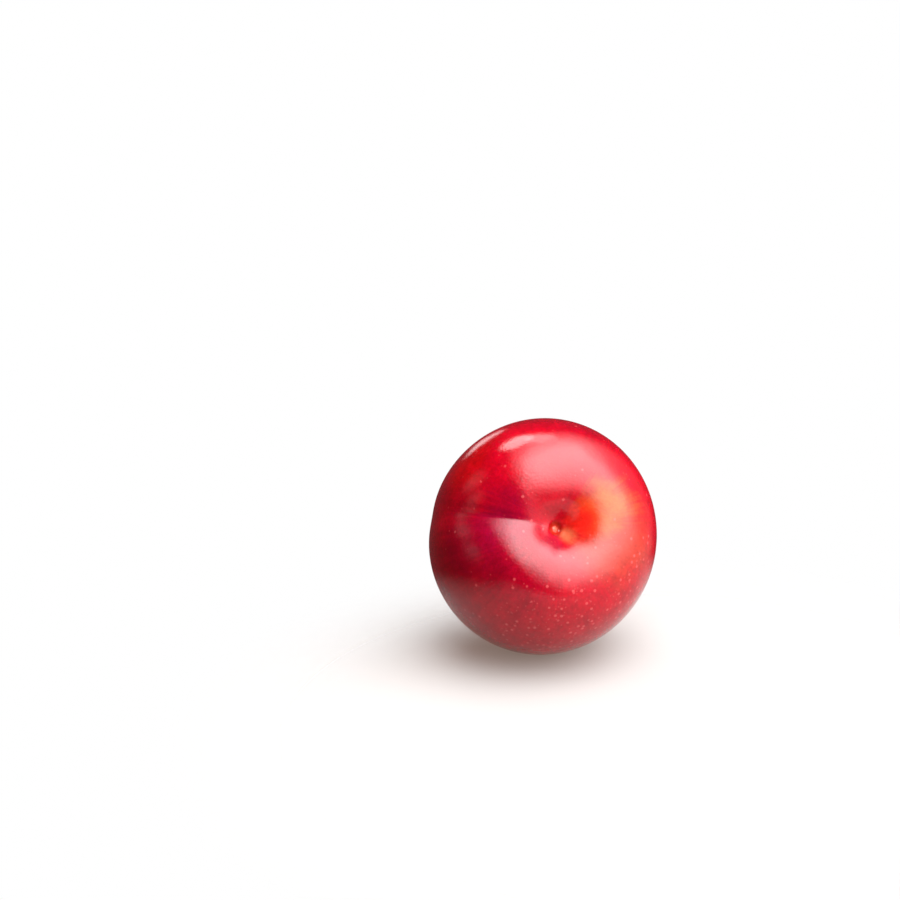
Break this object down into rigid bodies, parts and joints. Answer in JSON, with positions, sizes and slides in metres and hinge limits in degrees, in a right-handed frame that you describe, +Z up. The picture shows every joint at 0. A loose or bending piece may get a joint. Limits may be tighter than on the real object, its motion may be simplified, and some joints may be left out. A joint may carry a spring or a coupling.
{
  "type": "red plum",
  "caption": "Ripe red dessert plum lying on its side, with a dished stem end, a stem scar and a seam, resting on a small flat spot.",
  "frame": {"origin": "middle of the plum's footprint, on the surface that it rests on", "axes": "+Z up; the stem end faces -Y, about 26 degrees above the level and turned 11 degrees towards +X; the seam leaves it towards -X"},
  "size_m": [0.0578, 0.059, 0.0604],
  "materials": {
    "skin": "smooth waxy fruit skin, orange to crimson to near-black red, with pale dots"
  },
  "bodies": {
    "root": {"plum": "skin"}
  },
  "joints": []
}
